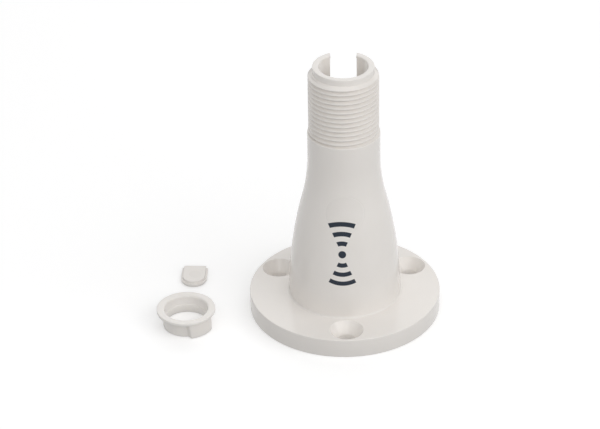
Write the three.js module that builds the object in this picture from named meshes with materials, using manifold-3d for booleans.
// Deck mount for a marine antenna, moulded in white nylon: a round flange with three countersunk
// screw holes, a hollow bottle-shaped column, and a slotted neck with an external 1"-14 thread.
// Beside it lie the two small mouldings that go with it: the ring that is pushed into the neck from
// above, with a key that fills the top of the cable slot, and the plug that closes the slot's foot.
// Millimetres, +Z up. The origin is the centre of the flange's underside, on the column's axis.

import * as THREE from "three";
import { mergeVertices } from "three/addons/utils/BufferGeometryUtils.js";
import Module from "manifold-3d";

const INCH = 25.4;

// Flange
const FLANGE_R = 35;
const FLANGE_H = 7.2;
const FLANGE_TOP_EDGE = 0.3;
const FLANGE_FOOT_EDGE = 0.3;

// Screw holes, one at the front (-Y) and the others 120 degrees away
const SCREW_COUNT = 3;
const SCREW_CIRCLE_R = 28;
const SCREW_HOLE_R = 3.25;
const SCREW_HEAD_R = 6.1;
const SCREW_CONE_FOOT_Z = 3;

// Column: a belly arc at the foot runs tangentially into a waist arc, then a straight collar
const COLUMN_FOOT_R = 20.5;
const BELLY_ARC_R = 165;
const BELLY_START_Z = 5.9;
const WAIST_ARC_R = 69.4;
const SHOULDER_R = 13.07;
const SHOULDER_Z = 73.6;
const SHOULDER_EDGE = 0.25;
const FOOT_FILLET = 0.9;

// Neck
const TOTAL_H = 100;
const BORE_R = 8.7;
const RIM_R = 11;
const RIM_EDGE = 0.35;
const COLUMN_WALL = SHOULDER_R - BORE_R;

// Thread, 1"-14: sixty-degree flanks, flat crests and roots, right-handed
const PITCH = INCH / 14;
const CREST_ALLOWANCE = 0.05;
const CREST_R = INCH / 2 - CREST_ALLOWANCE;
const CREST_FLAT = 0.34;
const THREAD_DEPTH = 1.05;
const ROOT_R = CREST_R - THREAD_DEPTH;
const FLANK_RUN = Math.tan(Math.PI / 6);
const CREST_Z_AT_FRONT = 74.87;
const RIDGE_ROOT = 0.5; // how far the ridge's section reaches into the core
const RIDGE_BELOW_SHOULDER = 1.2;
const RIDGE_ABOVE_LEAD_IN = 1.6;

// Lead-in: a thirty-degree cone from the crest up to the rim
const LEAD_IN_Z = 96.7;
const LEAD_IN_GAP = 0.05; // the core's cone lies this far below the ridge's

// Cable slot in the back of the neck
const SLOT_W = 9.4;
const SLOT_FOOT_Z = 63;
const SLOT_TURN = THREE.MathUtils.degToRad(-1.3);

// Neck ring, lying flange up
const RING_AT = new THREE.Vector3(-58.35, -11.8, 0);
const RING_H = 7.1;
const RING_FLANGE_R = 10.75;
const RING_FLANGE_H = 1.2;
const RING_BODY_R = 8.6;
const RING_MOUTH_R = 7.9;
const RING_BORE_R = 7.65;
const RING_STEP_Z = 3.4;
const RING_EDGE = 0.25;
const KEY_R = 10.2;
const KEY_W = 9.4;
const KEY_FLARE = 0.7;
const KEY_ROOT = 0.4; // how far the key reaches into the ring's wall
const KEY_DIRECTION = THREE.MathUtils.degToRad(-50.4);

// Slot plug, lying with its raised face up
const PLUG_AT = new THREE.Vector3(-56.0, 24.0, 0);
const PLUG_TURN = THREE.MathUtils.degToRad(-3);
const PLUG_W = 9.7;
const PLUG_L = 11.8;
const PLUG_BASE_H = 1.3;
const PLUG_H = 2.3;
const PLUG_INSET = 0.7;
const PLUG_BEVEL = 0.35;

// Facets
const TURN_FACETS = 40;
const HOLE_FACETS = 20;
const ROUND_END_FACETS = 16;
const EDGE_STEPS = 2;

const OVERRUN = 2; // how far a cutting tool reaches past the face it leaves
const MERGE_DISTANCE = 1e-4;

const WHITE_NYLON = { color: 0xe4e1dc, roughness: 0.42, metalness: 0 };

const wasm = await Module();
wasm.setup();

// A closed three.js geometry as a solid that can be joined and cut.
function solidOf(geometry) {
  const bare = geometry.clone();
  bare.deleteAttribute("normal");
  bare.deleteAttribute("uv");
  const merged = mergeVertices(bare, MERGE_DISTANCE);
  const kept = [];
  const index = merged.index.array;
  for (let i = 0; i < index.length; i += 3) {
    const [a, b, c] = [index[i], index[i + 1], index[i + 2]];
    if (a !== b && b !== c && c !== a) kept.push(a, b, c);
  }
  const mesh = new wasm.Mesh({
    numProp: 3,
    vertProperties: merged.attributes.position.array,
    triVerts: new Uint32Array(kept),
  });
  return new wasm.Manifold(mesh);
}

function geometryOf(solid) {
  const mesh = solid.getMesh();
  const geometry = new THREE.BufferGeometry();
  geometry.setAttribute("position", new THREE.BufferAttribute(mesh.vertProperties, 3));
  geometry.setIndex(new THREE.BufferAttribute(mesh.triVerts, 1));
  geometry.computeVertexNormals();
  return geometry;
}

// Points of a rounded edge, from one angle to another about a centre in the (radius, height) plane.
function edge(r, z, size, fromDegrees, toDegrees) {
  const points = [];
  for (let i = 0; i <= EDGE_STEPS; i++) {
    const angle = THREE.MathUtils.degToRad(
      fromDegrees + ((toDegrees - fromDegrees) * i) / EDGE_STEPS,
    );
    points.push([r + size * Math.cos(angle), z + size * Math.sin(angle)]);
  }
  return points;
}

// A profile of [radius, height] pairs, anticlockwise, turned about the Z axis.
// A profile that doesn't start on the axis is closed on itself.
function turned(profile, facets) {
  const points = profile.map(([r, z]) => new THREE.Vector2(r, z));
  if (profile[0][0] > 0) points.push(points[0].clone());
  return new THREE.LatheGeometry(points, facets).rotateX(Math.PI / 2);
}

// An upright shape, drawn in (x, height), extruded along Y between two places.
function uprightTool(shape, fromY, toY) {
  const options = { depth: toY - fromY, bevelEnabled: false, curveSegments: ROUND_END_FACETS };
  return new THREE.ExtrudeGeometry(shape, options).rotateX(Math.PI / 2).translate(0, toY, 0);
}

// The column's outer radius at a height: the belly arc, the waist arc, then the straight collar.
function columnRadius(z) {
  const bellyAxis = COLUMN_FOOT_R - BELLY_ARC_R;
  const waistAxis = SHOULDER_R + WAIST_ARC_R;
  const reach = BELLY_ARC_R + WAIST_ARC_R;
  const waistZ = BELLY_START_Z + Math.sqrt(reach ** 2 - (waistAxis - bellyAxis) ** 2);
  const joinZ = BELLY_START_Z + ((waistZ - BELLY_START_Z) * BELLY_ARC_R) / reach;
  if (z <= joinZ) return bellyAxis + Math.sqrt(BELLY_ARC_R ** 2 - (z - BELLY_START_Z) ** 2);
  if (z <= waistZ) return waistAxis - Math.sqrt(WAIST_ARC_R ** 2 - (z - waistZ) ** 2);
  return SHOULDER_R;
}

// Heights at which the column's curve is sampled, closest where it bends most.
const COLUMN_HEIGHTS = [14, 21, 28, 34, 40, 46, 51, 56, 61, 66];

// The height of the lead-in cone at a radius.
function leadInHeight(r) {
  return LEAD_IN_Z + (CREST_R - r) * FLANK_RUN;
}

// Flange, column and neck core in one profile, hollow right through.
function mountBlank() {
  const outside = [
    ...edge(FLANGE_R - FLANGE_FOOT_EDGE, FLANGE_FOOT_EDGE, FLANGE_FOOT_EDGE, -90, 0),
    ...edge(FLANGE_R - FLANGE_TOP_EDGE, FLANGE_H - FLANGE_TOP_EDGE, FLANGE_TOP_EDGE, 0, 90),
    ...edge(COLUMN_FOOT_R + FOOT_FILLET, FLANGE_H + FOOT_FILLET, FOOT_FILLET, 270, 180),
    ...COLUMN_HEIGHTS.map((z) => [columnRadius(z), z]),
    ...edge(SHOULDER_R - SHOULDER_EDGE, SHOULDER_Z - SHOULDER_EDGE, SHOULDER_EDGE, 0, 90),
    [ROOT_R, SHOULDER_Z],
    [ROOT_R, leadInHeight(ROOT_R) - LEAD_IN_GAP],
    [RIM_R, leadInHeight(RIM_R) - LEAD_IN_GAP],
    ...edge(RIM_R - RIM_EDGE, TOTAL_H - RIM_EDGE, RIM_EDGE, 0, 90),
  ];
  const inside = [
    [BORE_R + RIM_EDGE, TOTAL_H],
    [BORE_R, TOTAL_H - RIM_EDGE],
    ...COLUMN_HEIGHTS.toReversed().map((z) => [columnRadius(z) - COLUMN_WALL, z]),
    [COLUMN_FOOT_R - COLUMN_WALL, FLANGE_H],
    [COLUMN_FOOT_R - COLUMN_WALL, FLANGE_FOOT_EDGE],
    [COLUMN_FOOT_R - COLUMN_WALL + FLANGE_FOOT_EDGE, 0],
  ];
  return solidOf(turned([...outside, ...inside], TURN_FACETS));
}

// A right-handed helix about the Z axis, followed downwards, with a frame that keeps the section
// upright: its x points away from the axis and its y points up.
class ThreadPath extends THREE.Curve {
  constructor(radius, pitch, topTurn, bottomTurn, frontZ) {
    super();
    Object.assign(this, { radius, pitch, topTurn, bottomTurn, frontZ });
  }

  // Turns are counted from the front (-Y).
  turnAt(t) {
    return this.topTurn + (this.bottomTurn - this.topTurn) * t;
  }

  outwardAt(t) {
    const angle = 2 * Math.PI * this.turnAt(t) - Math.PI / 2;
    return new THREE.Vector3(Math.cos(angle), Math.sin(angle), 0);
  }

  getPoint(t, target = new THREE.Vector3()) {
    const height = this.frontZ + this.pitch * this.turnAt(t);
    return target.copy(this.outwardAt(t)).multiplyScalar(this.radius).setZ(height);
  }

  computeFrenetFrames(segments) {
    const frames = { tangents: [], normals: [], binormals: [] };
    for (let i = 0; i <= segments; i++) {
      frames.tangents.push(this.getTangent(i / segments));
      frames.normals.push(this.outwardAt(i / segments));
      frames.binormals.push(new THREE.Vector3(0, 0, 1));
    }
    return frames;
  }
}

// The helical ridge, from inside the shoulder to above the foot of the lead-in.
function threadRidge() {
  const crest = CREST_FLAT / 2;
  const root = crest + THREAD_DEPTH * FLANK_RUN;
  const section = new THREE.Shape([
    new THREE.Vector2(-RIDGE_ROOT, -root),
    new THREE.Vector2(0, -root),
    new THREE.Vector2(THREAD_DEPTH, -crest),
    new THREE.Vector2(THREAD_DEPTH, crest),
    new THREE.Vector2(0, root),
    new THREE.Vector2(-RIDGE_ROOT, root),
  ]);
  // Both ends fall on a facet edge of the neck, so that the ridge's steps line up with its facets.
  const turnNear = (z) => Math.round(((z - CREST_Z_AT_FRONT) / PITCH) * TURN_FACETS) / TURN_FACETS;
  const bottomTurn = turnNear(SHOULDER_Z - RIDGE_BELOW_SHOULDER);
  const topTurn = turnNear(LEAD_IN_Z + RIDGE_ABOVE_LEAD_IN);
  const steps = Math.round((topTurn - bottomTurn) * TURN_FACETS);
  const extrudePath = new ThreadPath(ROOT_R, PITCH, topTurn, bottomTurn, CREST_Z_AT_FRONT);
  return solidOf(new THREE.ExtrudeGeometry(section, { steps, extrudePath }));
}

// What the ridge is trimmed to: a bar whose top is cut to the thread's lead-in cone.
function leadInBar() {
  const wide = CREST_R + OVERRUN;
  const narrow = BORE_R;
  const profile = [
    [0, 0],
    [wide, 0],
    [wide, leadInHeight(wide)],
    [narrow, leadInHeight(narrow)],
    [0, leadInHeight(narrow)],
  ];
  return solidOf(turned(profile, TURN_FACETS));
}

// A screw hole: a straight foot under a countersink that runs on past the flange's top.
function screwTool() {
  const slope = (SCREW_HEAD_R - SCREW_HOLE_R) / (FLANGE_H - SCREW_CONE_FOOT_Z);
  const profile = [
    [0, -OVERRUN],
    [SCREW_HOLE_R, -OVERRUN],
    [SCREW_HOLE_R, SCREW_CONE_FOOT_Z],
    [SCREW_HEAD_R + slope * OVERRUN, FLANGE_H + OVERRUN],
    [0, FLANGE_H + OVERRUN],
  ];
  return turned(profile, HOLE_FACETS);
}

// The cable slot: straight sides up past the rim, and a round foot.
function slotTool() {
  const half = SLOT_W / 2;
  const shape = new THREE.Shape();
  shape.moveTo(half, TOTAL_H + OVERRUN);
  shape.lineTo(-half, TOTAL_H + OVERRUN);
  shape.lineTo(-half, SLOT_FOOT_Z + half);
  shape.absarc(0, SLOT_FOOT_Z + half, half, Math.PI, 2 * Math.PI, false);
  shape.closePath();
  return solidOf(uprightTool(shape, BORE_R / 2, SHOULDER_R + OVERRUN).rotateZ(SLOT_TURN));
}

function mountBody() {
  let body = mountBlank().add(threadRidge().intersect(leadInBar())).subtract(slotTool());
  for (let i = 0; i < SCREW_COUNT; i++) {
    const angle = -Math.PI / 2 + (2 * Math.PI * i) / SCREW_COUNT;
    const x = SCREW_CIRCLE_R * Math.cos(angle);
    const y = SCREW_CIRCLE_R * Math.sin(angle);
    body = body.subtract(solidOf(screwTool().translate(x, y, 0)));
  }
  return geometryOf(body);
}

// The key stands out of the ring's side, from the underside of its flange to its foot.
// Its sides are parallel at the foot, and its left side flares outwards towards the flange.
function ringKey() {
  const half = KEY_W / 2;
  const top = RING_H - RING_FLANGE_H / 2;
  const shape = new THREE.Shape([
    new THREE.Vector2(-half, 0),
    new THREE.Vector2(half, 0),
    new THREE.Vector2(half, top),
    new THREE.Vector2(-half - KEY_FLARE, top),
  ]);
  const block = solidOf(uprightTool(shape, -KEY_R - OVERRUN, -RING_BORE_R / 2));
  const bar = [
    [0, -OVERRUN],
    [KEY_R, -OVERRUN],
    [KEY_R, RING_H],
    [0, RING_H],
  ];
  return block.intersect(solidOf(turned(bar, TURN_FACETS)));
}

function neckRing() {
  const under = RING_H - RING_FLANGE_H;
  const outside = [
    [RING_BORE_R + RING_EDGE, 0],
    [RING_BODY_R - RING_EDGE, 0],
    [RING_BODY_R, RING_EDGE],
    [RING_BODY_R, under],
    [RING_FLANGE_R - RING_EDGE, under],
    [RING_FLANGE_R, under + RING_EDGE],
    ...edge(RING_FLANGE_R - RING_EDGE, RING_H - RING_EDGE, RING_EDGE, 0, 90),
  ];
  const inside = [
    [RING_MOUTH_R + RING_EDGE, RING_H],
    [RING_MOUTH_R, RING_H - RING_EDGE],
    [RING_MOUTH_R, RING_STEP_Z],
    [RING_BORE_R, RING_STEP_Z],
    [RING_BORE_R, RING_EDGE],
  ];
  const turnedRing = solidOf(turned([...outside, ...inside], TURN_FACETS));
  const rootR = RING_BODY_R - KEY_ROOT;
  const hollow = [
    [0, -OVERRUN],
    [rootR, -OVERRUN],
    [rootR, RING_H + OVERRUN],
    [0, RING_H + OVERRUN],
  ];
  const key = ringKey().subtract(solidOf(turned(hollow, TURN_FACETS)));
  return geometryOf(turnedRing.add(key));
}

// A D: a straight edge at the back, parallel sides and a semicircular front.
// The straight edge's middle is the shape's origin, whatever the inset of the other edges.
function plugOutline(inset) {
  const half = PLUG_W / 2 - inset;
  const roundZ = -(PLUG_L - PLUG_W / 2);
  const shape = new THREE.Shape();
  shape.moveTo(half, 0);
  shape.lineTo(-half, 0);
  shape.lineTo(-half, roundZ);
  shape.absarc(0, roundZ, half, Math.PI, 2 * Math.PI, false);
  shape.closePath();
  return shape;
}

function plugLayer(inset, height) {
  const options = { depth: height, bevelEnabled: false, curveSegments: ROUND_END_FACETS };
  return new THREE.ExtrudeGeometry(plugOutline(inset), options);
}

// A base plate, with its lower edge relieved by a step, and the raised face on top of it.
function slotPlug() {
  const foot = solidOf(plugLayer(PLUG_BEVEL, PLUG_BASE_H));
  const plate = solidOf(plugLayer(0, PLUG_BASE_H - PLUG_BEVEL).translate(0, 0, PLUG_BEVEL));
  const face = solidOf(plugLayer(PLUG_INSET, PLUG_H));
  return geometryOf(foot.add(plate).add(face));
}

const material = () => new THREE.MeshStandardMaterial(WHITE_NYLON);

const mount = new THREE.Mesh(mountBody(), material());
mount.name = "mount_body";

const ring = new THREE.Mesh(neckRing(), material());
ring.name = "neck_ring";
ring.position.copy(RING_AT);
ring.rotation.z = KEY_DIRECTION + Math.PI / 2;

const plug = new THREE.Mesh(slotPlug(), material());
plug.name = "slot_plug";
plug.position.copy(PLUG_AT);
plug.rotation.z = PLUG_TURN;

const antennaMount = new THREE.Group();
antennaMount.add(mount, ring, plug);

export default antennaMount;
